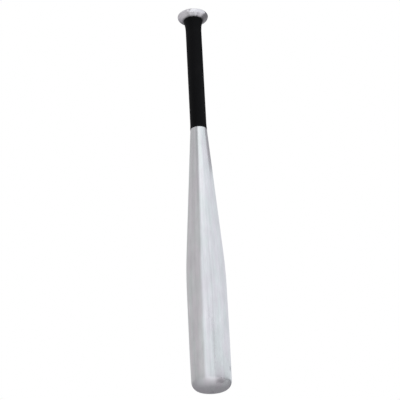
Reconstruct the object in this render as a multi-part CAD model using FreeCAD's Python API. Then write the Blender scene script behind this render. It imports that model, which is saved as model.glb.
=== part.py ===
import FreeCAD, Part
import math
import os

from FreeCAD import Vector

# Youth aluminium baseball bat: a swaged tube with a spun-closed barrel end, a welded knob and a rubber grip.
#
# Units are millimetres. +Z runs along the bat's axis towards the knob, and the bat hangs down from it. The
# origin is on the axis, at the middle of the hand grip. Every piece is a solid of revolution about Z, so each
# one is drawn as an outline in the X-Z plane, where X is the radius, and turned once round.

# Whole bat
overall_length = 609.6  # 24 in
butt_z = 105.0  # the knob's end face, above the middle of the grip
tip_z = butt_z - overall_length  # the pole of the closed barrel end

# Tube, with heights measured up from the tip
barrel_radius = 57.15 / 2  # 2 1/4 in barrel
handle_radius = 22.2 / 2  # 7/8 in handle tube
wall = 1.9
neck_start = 178.5  # where the taper's straight line would meet the barrel's
neck_end = 427.0  # where it would meet the handle's
shoulder_blend = 28.0  # tangent length of the arc between barrel and taper
throat_blend = 12.0  # tangent length of the arc between taper and handle
taper_angle = math.atan((barrel_radius - handle_radius) / (neck_end - neck_start))
shoulder_radius = shoulder_blend / math.tan(taper_angle / 2)
throat_radius = throat_blend / math.tan(taper_angle / 2)

# Closed barrel end: a shallow crown, a rounded corner, and a slight draft that eases into the full diameter
end_crown_radius = 64.0
end_corner_radius = 13.0
end_draft = math.radians(1.0)
end_draft_length = 57.0
end_weld_radius = 3.0  # pinhole left by the spinning, filled with weld metal

# Knob, with heights measured down from its end face
knob_radius = 23.75
knob_flat_radius = 16.0
knob_crown_radius = 17.0
knob_corner_radius = 1.5  # between the crowned end face and the rim
knob_shoulder_radius = 4.8  # between the rim and the sloping underside
knob_underside_slope = math.radians(28.0)
tube_end_recess = 2.5  # from the knob's end face down to the end of the tube

# Weld between the knob's underside and the tube
weld_leg = 3.0
weld_hollow = 0.25  # how far the bead's face dips below a straight fillet

# Plug that closes the open end of the tube
plug_recess = 0.4
plug_edge = 0.5
plug_length = 15.0
plug_lead_in = 1.0

# Rubber grip sleeve and the double-sided tape that holds it
grip_radius = 12.3
grip_length = 192.4
grip_lip_thickness = 0.3
grip_lip_length = 12.0
grip_flare_radius = 14.9
grip_flare_length = 20.0
tape_thickness = 0.2
tape_start = 442.0  # above the tip
tape_length = 150.0

# Foam damper pressed into the barrel's bore
damper_length = 30.0
damper_above_draft = 3.0
damper_chamfer = 2.0

quarter = math.pi / 2
same_point = 1e-6  # closer points than this are one


def point(radius, z):
    return Vector(radius, 0, z)


def polar(centre, radius, angle):
    """The point of a circle in the outline's plane, with the angle measured from +X towards +Z."""
    return centre + Vector(radius * math.cos(angle), 0, radius * math.sin(angle))


def arc(centre, radius, start_angle, stop_angle):
    middle_angle = (start_angle + stop_angle) / 2
    points = [polar(centre, radius, angle) for angle in (start_angle, middle_angle, stop_angle)]
    return Part.Arc(*points).toShape()


def revolve(*pieces):
    """Turns an outline of points and arcs once round the bat's axis.

    Straight lines join the pieces and close the outline. An arc after the first piece is entered at whichever
    end is nearer, so it may be drawn either way round.
    """
    edges = []
    first = last = None
    for piece in pieces:
        if isinstance(piece, Vector):
            start = stop = piece
        else:
            edges.append(piece)
            start, stop = piece.valueAt(piece.FirstParameter), piece.valueAt(piece.LastParameter)
        if last is None:
            first = start
        else:
            if last.distanceToPoint(stop) < last.distanceToPoint(start):
                start, stop = stop, start
            if last.distanceToPoint(start) > same_point:
                edges.append(Part.makeLine(last, start))
        last = stop
    if last.distanceToPoint(first) > same_point:
        edges.append(Part.makeLine(last, first))
    outline = Part.Wire(Part.sortEdges(edges)[0])
    return Part.Face(outline).revolve(Vector(0, 0, 0), Vector(0, 0, 1), 360)


def crowned_corner(flat_radius, outer_radius, crown_radius, corner_radius):
    """Fits a crown arc, then a corner arc that reaches outer_radius, to a pole or to the edge of a flat.

    Returns the corner's centre, as a radius and a depth below the top of the crown, and the angle that the
    crown turns through before the corner begins.
    """
    centre_radius = outer_radius - corner_radius
    reach = crown_radius - corner_radius
    run = centre_radius - flat_radius
    depth = crown_radius - math.sqrt(reach**2 - run**2)
    return centre_radius, depth, math.asin(run / reach)


# Centres and heights of the tube's arcs. The corner of the closed end stops where the draft begins.
draft_radius = end_draft_length / math.sin(end_draft) + end_corner_radius
draft_base_radius = barrel_radius - draft_radius * (1 - math.cos(end_draft))
end_outer_radius = draft_base_radius + end_corner_radius * (1 - math.cos(end_draft))
end_corner_r, end_corner_depth, end_crown_turn = crowned_corner(
    0, end_outer_radius, end_crown_radius, end_corner_radius
)
barrel_bottom_z = tip_z + end_corner_depth + end_draft_length
barrel_top_z = tip_z + neck_start - shoulder_blend
handle_bottom_z = tip_z + neck_end + throat_blend
tube_top_z = butt_z - tube_end_recess


def end_crown(depth, start_turn, stop_turn):
    """Part of the closed end's crown, depth below its outer skin, between two angles away from the pole."""
    centre = point(0, tip_z + end_crown_radius)
    return arc(centre, end_crown_radius - depth, start_turn - quarter, stop_turn - quarter)


def weld_turn(depth):
    """The angle from the pole to the edge of the end's weld, depth below the outer skin."""
    return math.asin(end_weld_radius / (end_crown_radius - depth))


def throat(depth):
    """The arc between taper and handle, depth below the outer skin."""
    centre = point(handle_radius + throat_radius, handle_bottom_z)
    return arc(centre, throat_radius + depth, math.pi + taper_angle, math.pi)


def tube_arcs(depth):
    """The arcs of the tube's surface, depth below its outer skin, from the end's weld up to the handle."""
    corner_centre = point(end_corner_r, tip_z + end_corner_depth)
    draft_centre = point(barrel_radius - draft_radius, barrel_bottom_z)
    shoulder_centre = point(barrel_radius - shoulder_radius, barrel_top_z)
    return [
        end_crown(depth, weld_turn(depth), end_crown_turn),
        arc(corner_centre, end_corner_radius - depth, end_crown_turn - quarter, -end_draft),
        arc(draft_centre, draft_radius - depth, -end_draft, 0),
        arc(shoulder_centre, shoulder_radius - depth, 0, taper_angle),
        throat(depth),
    ]


def bat_shell():
    """One tube, swaged from barrel to handle, with its barrel end spun nearly closed."""
    return revolve(
        *tube_arcs(0),
        point(handle_radius, tube_top_z),
        point(handle_radius - wall, tube_top_z),
        *reversed(tube_arcs(wall)),
    )


def end_weld():
    """Weld metal in the pinhole at the pole, ground flush outside."""
    return revolve(end_crown(0, 0, weld_turn(0)), end_crown(wall, 0, weld_turn(wall)))


# Centres of the arcs above and below the knob's rim, and where its sloping underside leaves the lower one
knob_corner_r, knob_corner_depth, knob_crown_turn = crowned_corner(
    knob_flat_radius, knob_radius, knob_crown_radius, knob_corner_radius
)
knob_corner = point(knob_corner_r, butt_z - knob_corner_depth)
knob_shoulder = point(knob_radius - knob_shoulder_radius, butt_z - knob_corner_depth)
underside_start = polar(knob_shoulder, knob_shoulder_radius, knob_underside_slope - quarter)


def underside(radius):
    """The point of the knob's sloping underside at a radius."""
    fall = (underside_start.x - radius) * math.tan(knob_underside_slope)
    return point(radius, underside_start.z - fall)


def knob():
    """A turned knob with a crowned end face, a rounded rim and a sloping underside, bored for the tube."""
    crown_centre = point(knob_flat_radius, butt_z - knob_crown_radius)
    return revolve(
        point(handle_radius, butt_z),
        arc(crown_centre, knob_crown_radius, quarter, quarter - knob_crown_turn),
        arc(knob_corner, knob_corner_radius, quarter - knob_crown_turn, 0),
        arc(knob_shoulder, knob_shoulder_radius, 0, knob_underside_slope - quarter),
        underside(handle_radius),
    )


def weld_face():
    """The hollow face of the knob's weld bead, between its underside and the tube."""
    top = underside(handle_radius + weld_leg)
    bottom = underside(handle_radius) - Vector(0, 0, weld_leg)
    inward = Vector(-weld_hollow, 0, weld_hollow) * math.sqrt(0.5)
    return Part.Arc(top, (top + bottom) / 2 + inward, bottom).toShape()


def knob_weld():
    """A fillet bead that runs round the tube under the knob."""
    return revolve(underside(handle_radius), weld_face())


def knob_plug():
    """A moulded plug: its head fills the knob's bore and its stem fills the end of the tube."""
    head_z = butt_z - plug_recess
    foot_z = butt_z - plug_length
    stem_radius = handle_radius - wall
    edge_centre = point(handle_radius - plug_edge, head_z - plug_edge)
    return revolve(
        point(0, head_z),
        arc(edge_centre, plug_edge, quarter, 0),
        point(handle_radius, tube_top_z),
        point(stem_radius, tube_top_z),
        point(stem_radius, foot_z + plug_lead_in),
        point(stem_radius - plug_lead_in, foot_z),
        point(0, foot_z),
    )


def tape_outline():
    """The corners of the tape's section, from its lower edge on the tube round to its upper one."""
    start_z = tip_z + tape_start
    stop_z = start_z + tape_length
    outer = handle_radius + tape_thickness
    return [
        point(handle_radius, start_z),
        point(outer, start_z),
        point(outer, stop_z),
        point(handle_radius, stop_z),
    ]


def grip_tape():
    """Double-sided tape round the straight of the handle, under the sleeve."""
    return revolve(*tape_outline())


def flare(tangent_z, end_radius, end_z):
    """An arc that leaves the sleeve's outside tangentially and widens to end_radius."""
    rise = end_radius - grip_radius
    run = end_z - tangent_z
    radius = (run**2 + rise**2) / (2 * rise)
    turn = math.asin(run / radius)
    return arc(point(grip_radius + radius, tangent_z), radius, math.pi, math.pi - turn)


def grip_sleeve():
    """A moulded rubber sleeve: its lower lip rides up the taper, and its upper end flares over the weld."""
    top = underside(grip_flare_radius)
    lip_z = top.z - grip_length
    taper_radius = handle_radius + (tip_z + neck_end - lip_z) * math.tan(taper_angle)
    return revolve(
        point(taper_radius, lip_z),
        throat(0),
        *tape_outline(),
        weld_face(),
        top,
        flare(top.z - grip_flare_length, grip_flare_radius, top.z),
        flare(lip_z + grip_lip_length, taper_radius + grip_lip_thickness, lip_z),
    )


def sound_damper():
    """A chamfered foam plug, a push fit in the straight part of the barrel's bore."""
    radius = barrel_radius - wall
    bottom_z = barrel_bottom_z + damper_above_draft
    top_z = bottom_z + damper_length
    return revolve(
        point(0, bottom_z),
        point(radius - damper_chamfer, bottom_z),
        point(radius, bottom_z + damper_chamfer),
        point(radius, top_z - damper_chamfer),
        point(radius - damper_chamfer, top_z),
        point(0, top_z),
    )


os.makedirs("parts", exist_ok=True)
for make in (bat_shell, end_weld, knob, knob_weld, knob_plug, grip_tape, grip_sleeve, sound_damper):
    make().exportStep(f"parts/{make.__name__}.step")
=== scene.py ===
import math

import bmesh
import bpy
from mathutils import Matrix, Vector


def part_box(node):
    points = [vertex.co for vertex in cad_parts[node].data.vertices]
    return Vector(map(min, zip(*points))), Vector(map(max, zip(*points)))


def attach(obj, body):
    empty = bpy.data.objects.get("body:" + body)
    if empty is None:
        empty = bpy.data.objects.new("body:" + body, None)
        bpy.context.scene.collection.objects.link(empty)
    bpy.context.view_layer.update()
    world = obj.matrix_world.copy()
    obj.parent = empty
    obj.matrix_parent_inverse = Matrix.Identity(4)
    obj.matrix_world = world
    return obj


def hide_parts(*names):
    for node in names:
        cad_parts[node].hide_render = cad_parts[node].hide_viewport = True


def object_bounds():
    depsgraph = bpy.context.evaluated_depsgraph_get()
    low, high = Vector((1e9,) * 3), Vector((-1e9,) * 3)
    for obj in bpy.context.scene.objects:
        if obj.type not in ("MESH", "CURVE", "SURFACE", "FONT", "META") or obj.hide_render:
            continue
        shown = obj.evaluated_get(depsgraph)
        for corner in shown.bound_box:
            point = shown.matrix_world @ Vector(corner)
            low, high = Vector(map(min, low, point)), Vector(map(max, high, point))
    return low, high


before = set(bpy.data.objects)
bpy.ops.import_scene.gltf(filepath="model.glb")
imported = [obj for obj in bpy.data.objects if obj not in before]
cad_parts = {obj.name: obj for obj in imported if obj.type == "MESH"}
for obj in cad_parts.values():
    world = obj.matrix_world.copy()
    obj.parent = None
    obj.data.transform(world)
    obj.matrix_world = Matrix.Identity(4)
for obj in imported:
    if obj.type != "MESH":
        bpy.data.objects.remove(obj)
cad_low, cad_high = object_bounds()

# A youth aluminium baseball bat that hangs barrel down from its grip. Lengths are metres and angles degrees.
# The camera looks up at it along +Y from below the barrel, with +X to the right.

# Camera
CAMERA_RISE = 24.29  # how far the line of sight climbs
CAMERA_ROLL = -2.90
CAMERA_DISTANCE = 1.883  # from the middle of the bat
CAMERA_OFFSET = (0.0026, 0.0127)  # how far the middle of the bat lies right of and above the line of sight
FOCAL_LENGTH_MM = 114.9
SENSOR_MM = 36.0

# Fineness of the turned pieces
MAX_TURN = 3.0  # the most that the outline turns from one point to the next
MAX_STEP = 0.004  # the farthest that they are apart
SAME_POINT = 1e-6  # closer points than this are one
ON_PLANE = 1e-7  # points closer to the cutting plane than this are on it
SHARP = math.cos(math.radians(20))  # normals that agree less than this meet at a sharp corner
RING_STEPS = 8  # faces across a moulded ring

# Moulded rings in the plug's head: radius, half-width and depth
PLUG_RINGS = ((0.0082, 0.0005, 0.0004), (0.0030, 0.0007, 0.0005))

# Scuffs on the barrel: azimuth (from the camera's side towards +X), height, half-width in degrees,
# half-length, and the share of the light that each takes away, which is negative for a bright one
SCUFFS = (
    (3, -0.397, 3.5, 0.014, 0.10),
    (12, -0.440, 5.0, 0.050, 0.14),
    (29, -0.4960, 19.0, 0.0045, 0.36),
    (70, -0.4750, 6.0, 0.006, 0.35),
    (-65, -0.388, 6.0, 0.012, -0.12),
)

# Surface finishes
METAL_WARM = (0.806, 0.785, 0.810)
METAL_COOL = (0.779, 0.806, 0.804)
WELD_OXIDE = (0.52, 0.51, 0.54)
GRIP_BLACK = (0.0013, 0.0013, 0.0018)
GRIP_DUST = (0.0046, 0.0046, 0.0052)
PLUG_BLACK = (0.010, 0.010, 0.011)
PLUG_DUST = (0.030, 0.029, 0.028)
TAPE_PAPER = (0.76, 0.73, 0.64)
TAPE_ADHESIVE = (0.66, 0.61, 0.49)
FOAM_NEW = (0.80, 0.75, 0.58)
FOAM_AGED = (0.74, 0.65, 0.42)
SPUN_TO_DRAWN = (-0.500, -0.484)  # heights between which the spun end takes on the drawn tube's bands
UNDER_KNOB_SHADE_REACH = 0.0185  # how far out from the bat's axis the painted shade under the knob goes
UNDER_KNOB_SHADE_TOP = (0.097, 0.099)  # heights between which it ends
GRIP_LOWER_LIP = 0.005  # how far the dust reaches from each end of the grip
GRIP_UPPER_LIP = 0.004
NOISE_ROUGHNESS = 0.55

# Floor
FLOOR_Z = -2.6
FLOOR_SIZE = 80.0
FLOOR_PAINT = (0.88, 0.88, 0.88)

# Studio. Screens stand round the bat, and only reflections see them. A screen is a profile of (radius,
# height) points, swept through a span of azimuth, with cards on it. Each card lies over the ones before it,
# and has a span of azimuth, a span of reach along the profile (the height on the outer wall, and less than
# that on the floor inside it), the softness of both, its lean and its colour. The lean is how many degrees of
# azimuth its sides gain for each metre above the tent's floor.
SCREEN_STEP = 5.0  # azimuth from one upright edge to the next
TENT_FLOOR = -0.49
TENT_PROFILE = ((0.03, TENT_FLOOR), (0.26, TENT_FLOOR), (0.26, 3.0))
TENT_WALL = (0.565, 0.560, 0.572)
TENT_CARDS = (
    ((-150, -45), (0.0, 0.9), (9, 0.06), 36, (0.51, 0.505, 0.52)),  # the wall's top, away from the lights
    ((-62, -30), (-0.04, 0.9), (6, 0.06), 36, (0.40, 0.40, 0.415)),  # dark seam beside the diffuser
    ((-95, -52), (0.14, 0.5), (8, 0.05), 0, (0.82, 0.82, 0.85)),  # a window over the dark side
    ((-37, 179), (-0.60, 1.1), (5, 0.05), 41, (0.81, 0.835, 0.875)),  # the diffuser on the right
    ((92, 190), (-0.60, 1.1), (12, 0.10), 0, (0.76, 0.78, 0.82)),  # its far end
    ((9, 50), (-0.50, -0.37), (12, 0.05), 0, (0.76, 0.79, 0.82)),  # a fold in it, near its foot
    ((60, 140), (-0.45, -0.38), (20, 0.04), 0, (0.87, 0.89, 0.93)),  # another fold
    ((25, 200), (-0.60, -0.449), (10, 0.01), 0, (0.18, 0.18, 0.20)),  # its hem
    ((-190, -64), (-0.60, -0.45), (12, 0.02), 0, (0.40, 0.40, 0.41)),  # shade at the left wall's foot
    ((-30, -14), (-0.51, -0.26), (8, 0.06), 62, (0.93, 0.95, 0.99)),  # the diffuser's near end
    ((-25, 35), (-0.16, 0.9), (9, 0.06), 30, (0.90, 0.93, 0.97)),  # the same, higher up
    ((-37, 3), (-0.085, 0.9), (7, 0.06), 37, (1.05, 1.08, 1.10)),  # the key light over the camera
    ((-200, 200), (-0.9, -0.67), (6, 0.03), 0, (0.40, 0.40, 0.42)),  # shade round the bat's foot
    ((40, 200), (-0.9, -0.63), (20, 0.03), 0, (0.26, 0.26, 0.28)),  # deeper behind the bat
    ((-60, 94), (-0.64, -0.51), (7, 0.03), 0, (1.58, 1.60, 1.63)),  # white table in front
)
# A hanger close behind the neck and the knob, which darkens their right limbs
HANGER_PROFILE = ((0.085, -0.13), (0.085, 0.35))
HANGER_SPAN = (88, 230)
HANGER_WALL = (0.40, 0.39, 0.42)
HANGER_CARDS = (
    ((91, 212), (-0.02, 0.9), (9, 0.04), 0, (0.17, 0.17, 0.18)),  # dark cloth over all but its foot
    ((132, 185), (0.07, 0.3), (8, 0.02), 0, (0.26, 0.26, 0.27)),  # a paler patch
    ((190, 240), (-0.2, 0.0), (5, 0.03), 0, (0.56, 0.555, 0.57)),  # pale strip on its left edge
)

# Two small bright screens, which widen the highlight under the knob
LEFT_GLINT_PROFILE = ((0.085, 0.04), (0.085, 0.22))
LEFT_GLINT_SPAN = (-37, -22)
LEFT_GLINT = (0.84, 0.84, 0.86)
RIGHT_GLINT_PROFILE = ((0.08, -0.03), (0.08, 0.035))
RIGHT_GLINT_SPAN = (62, 106)
RIGHT_GLINT = (1.05, 1.05, 1.07)

# Light that comes from beyond the screens
GROUND_BEHIND = (0.28, 0.272, 0.29)
GROUND_IN_FRONT = (0.665, 0.655, 0.685)
GROUND_EDGE = (0.93, 0.93, 0.96)  # straight towards the camera
EDGE_SHARPNESS = 15.0  # how narrow that bright part is
SKY = (1.03, 1.03, 1.05)
HORIZON_BLUR = 0.1  # sine of the height at which the sky has its full light


# ---- Camera ----

def make_camera():
    middle = (cad_low + cad_high) / 2
    rise, roll = math.radians(CAMERA_RISE), math.radians(CAMERA_ROLL)
    forward = Vector((0, math.cos(rise), math.sin(rise)))
    level_right = Vector((1, 0, 0))
    level_up = Vector((0, -math.sin(rise), math.cos(rise)))
    right = level_right * math.cos(roll) + level_up * math.sin(roll)
    up = level_up * math.cos(roll) - level_right * math.sin(roll)
    x, y = CAMERA_OFFSET
    place = middle - forward * CAMERA_DISTANCE - right * x - up * y

    data = bpy.data.cameras.new("camera")
    data.sensor_width = SENSOR_MM
    data.lens = FOCAL_LENGTH_MM
    camera = bpy.data.objects.new("camera", data)
    rows = Matrix((right, up, -forward)).transposed().to_4x4()
    camera.matrix_world = Matrix.Translation(place) @ rows
    bpy.context.scene.collection.objects.link(camera)
    bpy.context.scene.camera = camera


# ---- Turned pieces ----

def seam_segments(node):
    """A node's mesh cut by the half-plane y = 0, x >= 0: each edge's two points, with their outward normals.

    Points and normals are (radius, height) pairs. A node is a solid of revolution, so these edges are the
    outline that it was turned from, apart from flat discs at the axis, which have no edge there.
    """
    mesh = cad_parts[node].data
    found = {}
    for face in mesh.polygons:
        corners = list(face.loop_indices)
        for pair in zip(corners, corners[1:] + corners[:1]):
            points = [mesh.vertices[mesh.loops[corner].vertex_index].co for corner in pair]
            if any(abs(p.y) > ON_PLANE or p.x < -ON_PLANE for p in points):
                continue
            normals = [mesh.corner_normals[corner].vector for corner in pair]
            key = frozenset((round(p.x / SAME_POINT), round(p.z / SAME_POINT)) for p in points)
            flat = [Vector((v.x, v.z)) for v in (*points, *normals)]
            found.setdefault(key, []).append(flat)
    return [uses[0] for uses in found.values() if len(uses) == 2]


def chained(segments):
    """Puts an outline's segments end to end. An open one starts at the axis, and a closed one anywhere."""
    left = list(segments)
    ends = [p for a, b, *_ in left for p in (a, b)]
    loose = [p for p in ends if sum((p - q).length < SAME_POINT for q in ends) == 1]
    here = loose[0] if loose else left[0][0]
    chain = []
    while left:
        for segment in left:
            a, b, normal_a, normal_b = segment
            if (a - here).length < SAME_POINT:
                break
            if (b - here).length < SAME_POINT:
                a, b, normal_a, normal_b = b, a, normal_b, normal_a
                break
        else:
            raise ValueError("the outline has a gap")
        left.remove(segment)
        chain.append((a, b, normal_a, normal_b))
        here = b
    return chain, bool(loose)


def smooth_points(a, b, normal_a, normal_b):
    """Points after a and up to b, on a curve that meets both normals at right angles."""
    chord = b - a
    tangents = []
    for normal in (normal_a, normal_b):
        tangent = Vector((-normal.y, normal.x))
        tangents.append(tangent * math.copysign(chord.length, tangent.dot(chord)))
    swing = math.degrees(normal_a.angle(normal_b, 0))
    count = max(1, math.ceil(swing / MAX_TURN), math.ceil(chord.length / MAX_STEP))
    for i in range(1, count + 1):
        t = i / count
        yield (
            a * (2 * t**3 - 3 * t**2 + 1)
            + tangents[0] * (t**3 - 2 * t**2 + t)
            + b * (3 * t**2 - 2 * t**3)
            + tangents[1] * (t**3 - t**2)
        )


def outline(node):
    """A node's outline, finely divided, as (radius, height) points, and whether each is a sharp corner."""
    chain, is_open = chained(seam_segments(node))
    points, sharp = [], []
    for i, (a, b, normal_a, normal_b) in enumerate(chain):
        before = chain[i - 1][3]
        points.append(a)
        sharp.append(before.dot(normal_a) < SHARP)
        inner = list(smooth_points(a, b, normal_a, normal_b))[:-1]
        points += inner
        sharp += [False] * len(inner)
    if is_open:
        points = [Vector((0, points[0].y)), *points, chain[-1][1], Vector((0, chain[-1][1].y))]
        sharp = [False, True, *sharp[1:], True, False]
    return points, sharp


def ringed(points, sharp, rings):
    """Sinks round-bottomed rings, listed from the rim inwards, into the upper end face of an open outline."""
    if points[0].y > points[-1].y:
        points, sharp = points[::-1], sharp[::-1]
    height = points[-1].y
    cut = []
    for radius, half_width, depth in rings:
        for i in range(RING_STEPS + 1):
            bearing = math.pi * i / RING_STEPS
            dip = Vector((radius + half_width * math.cos(bearing), height - depth * math.sin(bearing)))
            cut.append((dip, i in (0, RING_STEPS)))
    points = points[:-1] + [dip for dip, _ in cut] + points[-1:]
    sharp = sharp[:-1] + [is_sharp for _, is_sharp in cut] + sharp[-1:]
    return points, sharp


def turned(name, node, segments, rings=()):
    """A finely divided copy of a CAD solid of revolution, which stands for that node."""
    points, sharp = outline(node)
    if rings:
        points, sharp = ringed(points, sharp, rings)
    made = bmesh.new()
    hoops = []
    for p in points:
        if p.x < SAME_POINT:
            hoops.append([made.verts.new((0, 0, p.y))])
            continue
        hoop = []
        for i in range(segments):
            angle = 2 * math.pi * i / segments
            hoop.append(made.verts.new((p.x * math.cos(angle), p.x * math.sin(angle), p.y)))
        hoops.append(hoop)
    for hoop, following in zip(hoops, hoops[1:] + hoops[:1]):
        if len(hoop) == 1 and len(following) == 1:
            continue
        for i in range(segments):
            j = (i + 1) % segments
            corners = [hoop[i % len(hoop)], hoop[j % len(hoop)]]
            corners += [following[j % len(following)], following[i % len(following)]]
            made.faces.new(dict.fromkeys(corners))
    bmesh.ops.recalc_face_normals(made, faces=made.faces)
    for face in made.faces:
        face.smooth = True
    for hoop, is_sharp in zip(hoops, sharp):
        if is_sharp and len(hoop) > 1:
            for i in range(segments):
                edge = made.edges.get((hoop[i], hoop[(i + 1) % segments]))
                edge.smooth = False
    mesh = bpy.data.meshes.new(name)
    made.to_mesh(mesh)
    made.free()
    piece = bpy.data.objects.new(name, mesh)
    bpy.context.scene.collection.objects.link(piece)
    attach(piece, "root")
    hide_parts(node)
    return piece


# ---- Shader nodes ----

class Nodes:
    """Short names for the nodes of one tree. A value is a socket, a number, or a tuple of three numbers."""

    def __init__(self, tree):
        self.tree = tree

    def add(self, kind, **settings):
        made = self.tree.nodes.new(kind)
        for name, value in settings.items():
            setattr(made, name, value)
        return made

    def feed(self, socket, value):
        if isinstance(value, bpy.types.NodeSocket):
            self.tree.links.new(value, socket)
        elif socket.type == "RGBA":
            socket.default_value = (*value, 1)
        else:
            socket.default_value = value

    def math(self, operation, *values):
        made = self.add("ShaderNodeMath", operation=operation)
        for socket, value in zip(made.inputs, values):
            self.feed(socket, value)
        return made.outputs[0]

    def vector(self, operation, *values):
        made = self.add("ShaderNodeVectorMath", operation=operation)
        for socket, value in zip(made.inputs, values):
            self.feed(socket, value)
        return made.outputs["Vector"]

    def times(self, vector, factor):
        made = self.add("ShaderNodeVectorMath", operation="SCALE")
        self.feed(made.inputs["Vector"], vector)
        self.feed(made.inputs["Scale"], factor)
        return made.outputs["Vector"]

    def ramp(self, value, low, high, at_low=0.0, at_high=1.0):
        """Goes smoothly from at_low to at_high as value goes from low to high."""
        made = self.add("ShaderNodeMapRange", interpolation_type="SMOOTHSTEP")
        for socket, number in zip(made.inputs, (value, low, high, at_low, at_high)):
            self.feed(socket, number)
        return made.outputs[0]

    def about(self, noise, middle, spread):
        """middle, plus spread times how far the noise is from its own middle, a half."""
        return self.math("MULTIPLY_ADD", self.math("SUBTRACT", noise, 0.5), spread, middle)

    def mix(self, share, first, second):
        """Mixes two colours."""
        made = self.add("ShaderNodeMix", data_type="RGBA")
        self.feed(made.inputs["Factor"], share)
        for name, colour in (("A", first), ("B", second)):
            self.feed(next(s for s in made.inputs if s.name == name and s.type == "RGBA"), colour)
        return next(s for s in made.outputs if s.type == "RGBA")

    def parts(self, vector):
        made = self.add("ShaderNodeSeparateXYZ")
        self.feed(made.inputs[0], vector)
        return made.outputs

    def place(self):
        """The point in the piece's own coordinates."""
        return self.add("ShaderNodeTexCoord").outputs["Object"]

    def azimuth(self, x, y):
        """The angle in degrees from the camera's side towards +X."""
        return self.math("DEGREES", self.math("ARCTAN2", x, self.math("MULTIPLY", y, -1.0)))

    def off(self, angle, middle):
        """How far an angle is past the middle one, the short way round."""
        return self.math("WRAP", self.math("SUBTRACT", angle, middle), 180.0, -180.0)

    def length(self, x, y):
        return self.math("SQRT", self.math("ADD", self.math("MULTIPLY", x, x), self.math("MULTIPLY", y, y)))

    def radius(self):
        """The point's distance from the bat's axis."""
        x, y, _ = self.parts(self.place())
        return self.length(x, y)

    def noise(self, vector, scale, detail, w=None):
        made = self.add("ShaderNodeTexNoise", noise_dimensions="3D" if w is None else "4D")
        settings = {"Vector": vector, "Scale": scale, "Detail": detail, "Roughness": NOISE_ROUGHNESS}
        if w is not None:
            settings["W"] = w
        for name, value in settings.items():
            self.feed(made.inputs[name], value)
        return made.outputs[0]

    def grain(self, scale, detail=3.0):
        """Even noise with about scale features a metre."""
        return self.noise(self.place(), scale, detail)

    def turned_grain(self, around, along, detail=3.0):
        """Noise without a seam round the axis: around features a radian, and along a metre of outline."""
        outward = self.vector("NORMALIZE", self.vector("MULTIPLY", self.place(), (1, 1, 0)))
        height = self.vector("MULTIPLY", self.place(), (0, 0, along))
        spot = self.vector("MULTIPLY_ADD", outward, (around, around, 0), height)
        return self.noise(spot, 1.0, detail, self.math("MULTIPLY", self.radius(), along))

    def cells(self, scale):
        """How far each point is from the middle of its cell, with about scale cells a metre."""
        made = self.add("ShaderNodeTexVoronoi")
        self.feed(made.inputs["Vector"], self.place())
        self.feed(made.inputs["Scale"], scale)
        return made.outputs["Distance"]

    def bump(self, height, distance, normal=None):
        """A surface raised by height times distance, on top of an earlier bump's normal if there is one."""
        made = self.add("ShaderNodeBump")
        self.feed(made.inputs["Height"], height)
        made.inputs["Distance"].default_value = distance
        if normal:
            self.feed(made.inputs["Normal"], normal)
        return made.outputs[0]


# ---- Materials ----

def begin(name, **constants):
    """A new material, its nodes, and its shader's sockets by name, with the spaces taken out of the names."""
    made = bpy.data.materials.new(name)
    made.use_nodes = True
    shader = made.node_tree.nodes["Principled BSDF"]
    sockets = {socket.name.replace(" ", ""): socket for socket in shader.inputs}
    for socket, value in constants.items():
        sockets[socket].default_value = value
    return made, Nodes(made.node_tree), sockets


def begin_metal(name):
    """Metal whose highlights stretch along the bat, because its fine polishing marks run round it."""
    made, nodes, sockets = begin(name, Metallic=1.0, Anisotropic=0.9, AnisotropicRotation=0.25)
    tangent = nodes.add("ShaderNodeTangent", direction_type="RADIAL", axis="Z")
    nodes.feed(sockets["Tangent"], tangent.outputs[0])
    return made, nodes, sockets


def scuffed_share(nodes):
    """The share of the light that the scuffs take away at each point."""
    x, y, z = nodes.parts(nodes.place())
    azimuth = nodes.azimuth(x, y)
    ragged = nodes.about(nodes.grain(220, detail=4), middle=1.0, spread=1.6)
    total = 0.0
    for middle, height, half_width, half_length, share in SCUFFS:
        across = nodes.math("DIVIDE", nodes.off(azimuth, middle), half_width)
        along = nodes.math("DIVIDE", nodes.math("SUBTRACT", z, height), half_length)
        reach = nodes.math("MULTIPLY", nodes.length(across, along), ragged)
        total = nodes.math("ADD", total, nodes.ramp(reach, 0.2, 1.1, at_low=share, at_high=0.0))
    return total


def shell_metal():
    """A drawn tube: lengthwise bands from drawing, fine rings from polishing, and a few scuffs."""
    made, nodes, sockets = begin_metal("shell_metal")
    height = nodes.parts(nodes.place())[2]
    on_tube = nodes.ramp(height, *SPUN_TO_DRAWN)
    bands = nodes.about(nodes.turned_grain(around=6, along=5), middle=0.0, spread=0.22)
    streaks = nodes.about(nodes.turned_grain(around=36, along=11), middle=0.0, spread=0.26)
    clouds = nodes.about(nodes.turned_grain(around=2.2, along=38), middle=1.0, spread=0.27)
    level = nodes.math("MULTIPLY_ADD", nodes.math("ADD", bands, streaks), on_tube, clouds)
    scuffs = scuffed_share(nodes)
    level = nodes.math("SUBTRACT", level, scuffs)
    coolness = nodes.ramp(nodes.turned_grain(around=2.6, along=22), 0.35, 0.65)
    tint = nodes.mix(coolness, METAL_WARM, METAL_COOL)
    nodes.feed(sockets["BaseColor"], nodes.times(tint, level))
    rings = nodes.turned_grain(around=1.5, along=1500)
    streaky = nodes.about(streaks, middle=0.30, spread=0.10)
    dulled = nodes.math("MULTIPLY_ADD", scuffs, 0.25, streaky)
    nodes.feed(sockets["Roughness"], nodes.about(rings, dulled, spread=0.08))
    waves = nodes.bump(nodes.turned_grain(around=2.0, along=22, detail=1), distance=3e-4)
    nodes.feed(sockets["Normal"], nodes.bump(rings, distance=3e-6, normal=waves))
    return made


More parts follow.
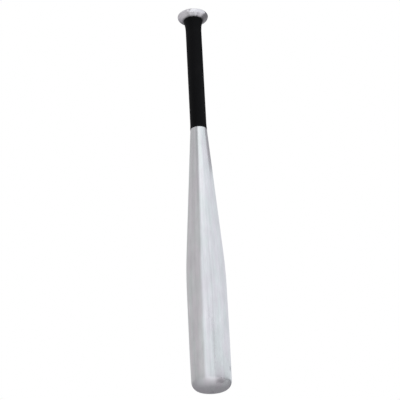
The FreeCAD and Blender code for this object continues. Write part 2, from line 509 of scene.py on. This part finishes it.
def knob_metal():
    """A turned knob: rings from the tool, small knocks, and painted shade between the underside and the grip.
    """
    made, nodes, sockets = begin_metal("knob_metal")
    clouds = nodes.about(nodes.grain(130), middle=1.0, spread=0.14)
    rings = nodes.turned_grain(around=2, along=1800)
    knocks = nodes.ramp(nodes.grain(420), 0.66, 0.76, at_high=0.12)
    level = nodes.about(rings, nodes.math("SUBTRACT", clouds, knocks), spread=0.06)
    # Painted shade: the underside's colour darkens towards the grip, out to a ragged edge
    shade_edge = nodes.about(nodes.turned_grain(around=3, along=60), UNDER_KNOB_SHADE_REACH, spread=0.002)
    weld_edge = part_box("knob_weld")[1].x
    painted_shade = nodes.ramp(nodes.radius(), weld_edge, shade_edge, at_low=0.8, at_high=0.0)
    below = nodes.ramp(nodes.parts(nodes.place())[2], *UNDER_KNOB_SHADE_TOP, at_low=1.0, at_high=0.0)
    level = nodes.math("SUBTRACT", level, nodes.math("MULTIPLY", painted_shade, below))
    nodes.feed(sockets["BaseColor"], nodes.times(METAL_WARM, level))
    nodes.feed(sockets["Roughness"], nodes.about(rings, middle=0.27, spread=0.05))
    nodes.feed(sockets["Normal"], nodes.bump(rings, distance=3e-6))
    return made


def weld_metal():
    """Weld metal: ripples across the bead, and a dull oxide bloom."""
    made, nodes, sockets = begin("weld_metal", Metallic=1.0)
    ripples = nodes.turned_grain(around=34, along=260)
    bloom = nodes.ramp(nodes.grain(700), 0.35, 0.7)
    nodes.feed(sockets["BaseColor"], nodes.mix(bloom, METAL_WARM, WELD_OXIDE))
    nodes.feed(sockets["Roughness"], nodes.about(bloom, middle=0.42, spread=0.25))
    nodes.feed(sockets["Normal"], nodes.bump(ripples, distance=1.2e-4))
    return made


def grip_rubber():
    """Black moulded rubber: a fine pebbled skin, dusty where the hands have worn it and along its lips."""
    made, nodes, sockets = begin("grip_rubber", SpecularIORLevel=0.08)
    pebbles = nodes.cells(1500)
    height = nodes.parts(nodes.place())[2]
    low, high = (corner.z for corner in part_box("grip_sleeve"))
    lower_lip = nodes.ramp(height, low, low + GRIP_LOWER_LIP, at_low=0.6, at_high=0.0)
    upper_lip = nodes.ramp(height, high - GRIP_UPPER_LIP, high, at_high=0.6)
    worn = nodes.ramp(nodes.grain(34, detail=5), 0.5, 0.75)
    worn = nodes.math("ADD", worn, nodes.math("ADD", lower_lip, upper_lip))
    dust = nodes.math("MULTIPLY", worn, nodes.about(pebbles, middle=0.5, spread=0.6))
    nodes.feed(sockets["BaseColor"], nodes.mix(dust, GRIP_BLACK, GRIP_DUST))
    nodes.feed(sockets["Roughness"], nodes.about(nodes.grain(300), middle=0.55, spread=0.3))
    nodes.feed(sockets["Normal"], nodes.bump(pebbles, distance=4e-5))
    return made


def plug_rubber():
    """Black moulded rubber with a satin skin and a little dust."""
    made, nodes, sockets = begin("plug_rubber", SpecularIORLevel=0.35)
    dust = nodes.ramp(nodes.grain(260, detail=5), 0.45, 0.8)
    nodes.feed(sockets["BaseColor"], nodes.mix(dust, PLUG_BLACK, PLUG_DUST))
    nodes.feed(sockets["Roughness"], nodes.about(dust, middle=0.5, spread=0.3))
    nodes.feed(sockets["Normal"], nodes.bump(nodes.grain(2600), distance=3e-5))
    return made


def tape_paper():
    """Crepe tape: fine wrinkles round the tube, and blotches of adhesive."""
    made, nodes, sockets = begin("tape_paper", SpecularIORLevel=0.3)
    wrinkles = nodes.turned_grain(around=60, along=1400)
    blotches = nodes.ramp(nodes.grain(90, detail=4), 0.4, 0.65)
    nodes.feed(sockets["BaseColor"], nodes.mix(blotches, TAPE_PAPER, TAPE_ADHESIVE))
    nodes.feed(sockets["Roughness"], nodes.about(blotches, middle=0.6, spread=-0.3))
    nodes.feed(sockets["Normal"], nodes.bump(wrinkles, distance=5e-5))
    return made


def damper_foam():
    """Open-celled polyurethane foam, with painted shade in its pores, and yellowed in patches."""
    made, nodes, sockets = begin("damper_foam", SpecularIORLevel=0.2, SheenWeight=0.15)
    pores = nodes.cells(1300)
    yellowed = nodes.mix(nodes.ramp(nodes.grain(70), 0.35, 0.7), FOAM_NEW, FOAM_AGED)
    # Painted shade: the colour darkens towards the middle of each pore
    nodes.feed(sockets["BaseColor"], nodes.times(yellowed, nodes.about(pores, middle=0.95, spread=0.5)))
    nodes.feed(sockets["Roughness"], nodes.about(pores, middle=0.85, spread=0.2))
    nodes.feed(sockets["Normal"], nodes.bump(pores, distance=2e-4))
    return made


# ---- Studio ----

def card_mask(nodes, azimuth, reach, span, rise, softness, lean):
    """1 inside a card and 0 outside it, with soft edges."""
    upright = nodes.math("MULTIPLY_ADD", reach, -lean, azimuth)
    middle = (span[0] + span[1]) / 2 - lean * TENT_FLOOR
    across = nodes.math("ABSOLUTE", nodes.off(upright, middle))
    up = nodes.math("ABSOLUTE", nodes.math("SUBTRACT", reach, (rise[0] + rise[1]) / 2))
    half_width, half_height = (span[1] - span[0]) / 2, (rise[1] - rise[0]) / 2
    sides = nodes.ramp(across, half_width - softness[0], half_width + softness[0], at_low=1.0, at_high=0.0)
    ends = nodes.ramp(up, half_height - softness[1], half_height + softness[1], at_low=1.0, at_high=0.0)
    return nodes.math("MULTIPLY", sides, ends)


def make_screen(name, profile, span, wall, cards=()):
    """A lit screen with cards on it, which can be seen through from outside."""
    made = bmesh.new()
    steps = math.ceil((span[1] - span[0]) / SCREEN_STEP)
    posts = []
    for i in range(steps + 1):
        bearing = math.radians(span[0] + (span[1] - span[0]) * i / steps)
        posts.append([made.verts.new((r * math.sin(bearing), -r * math.cos(bearing), z)) for r, z in profile])
    for post, following in zip(posts, posts[1:]):
        for k in range(len(profile) - 1):
            made.faces.new((post[k], post[k + 1], following[k + 1], following[k]))
    mesh = bpy.data.meshes.new(name)
    made.to_mesh(mesh)
    made.free()
    screen = bpy.data.objects.new(name, mesh)
    bpy.context.scene.collection.objects.link(screen)
    screen.visible_camera = screen.visible_diffuse = screen.visible_shadow = False

    cloth = bpy.data.materials.new(f"{name}_cloth")
    cloth.use_nodes = True
    nodes = Nodes(cloth.node_tree)
    geometry = nodes.add("ShaderNodeNewGeometry")
    x, y, z = nodes.parts(geometry.outputs["Position"])
    azimuth = nodes.azimuth(x, y)
    reach = nodes.math("ADD", z, nodes.math("SUBTRACT", nodes.length(x, y), profile[-1][0]))
    colour = wall
    for *card, card_colour in cards:
        colour = nodes.mix(card_mask(nodes, azimuth, reach, *card), colour, card_colour)
    glow = nodes.add("ShaderNodeEmission")
    nodes.feed(glow.inputs["Color"], colour)
    shader = nodes.add("ShaderNodeMixShader")
    nodes.feed(shader.inputs[0], geometry.outputs["Backfacing"])
    nodes.feed(shader.inputs[1], glow.outputs[0])
    nodes.feed(shader.inputs[2], nodes.add("ShaderNodeBsdfTransparent").outputs[0])
    nodes.feed(cloth.node_tree.nodes["Material Output"].inputs["Surface"], shader.outputs[0])
    mesh.materials.append(cloth)


def make_world():
    """A white sky, over light that falls off behind the bat and below it. The camera sees it all as white."""
    world = bpy.data.worlds.new("studio")
    bpy.context.scene.world = world
    world.use_nodes = True
    nodes = Nodes(world.node_tree)
    _, y, z = nodes.parts(nodes.add("ShaderNodeTexCoord").outputs["Generated"])
    frontness = nodes.math("MULTIPLY_ADD", y, -0.5, 0.5)  # from 0 behind the bat to 1 on the camera's side
    colour = nodes.mix(frontness, GROUND_BEHIND, GROUND_IN_FRONT)
    colour = nodes.mix(nodes.math("POWER", frontness, EDGE_SHARPNESS), colour, GROUND_EDGE)
    colour = nodes.mix(nodes.ramp(z, 0.0, HORIZON_BLUR), colour, SKY)
    seen = nodes.add("ShaderNodeLightPath").outputs["Is Camera Ray"]
    shader = world.node_tree.nodes["Background"]
    nodes.feed(shader.inputs["Color"], nodes.mix(seen, colour, (1, 1, 1)))


def make_floor():
    bpy.ops.mesh.primitive_plane_add(size=FLOOR_SIZE, location=(0, 0, FLOOR_Z))
    floor = bpy.context.active_object
    floor.name = "floor"
    floor.visible_glossy = False
    paint, nodes, sockets = begin("floor_paint", Roughness=0.7)
    nodes.feed(sockets["BaseColor"], FLOOR_PAINT)
    floor.data.materials.append(paint)


make_camera()
bpy.context.scene.view_settings.view_transform = "Standard"
make_world()
make_floor()
make_screen("tent", TENT_PROFILE, (0, 360), TENT_WALL, TENT_CARDS)
make_screen("hanger", HANGER_PROFILE, HANGER_SPAN, HANGER_WALL, HANGER_CARDS)
make_screen("left_glint", LEFT_GLINT_PROFILE, LEFT_GLINT_SPAN, LEFT_GLINT)
make_screen("right_glint", RIGHT_GLINT_PROFILE, RIGHT_GLINT_SPAN, RIGHT_GLINT)

weld = weld_metal()
for node, segments, rings, finish in (
    ("bat_shell", 192, (), shell_metal()),
    ("end_weld", 48, (), weld),
    ("knob", 160, (), knob_metal()),
    ("knob_weld", 96, (), weld),
    ("knob_plug", 96, PLUG_RINGS, plug_rubber()),
    ("grip_sleeve", 128, (), grip_rubber()),
    ("grip_tape", 96, (), tape_paper()),
    ("sound_damper", 96, (), damper_foam()),
):
    piece = turned(f"{node}_turned", node, segments, rings)
    piece.data.materials.append(finish)
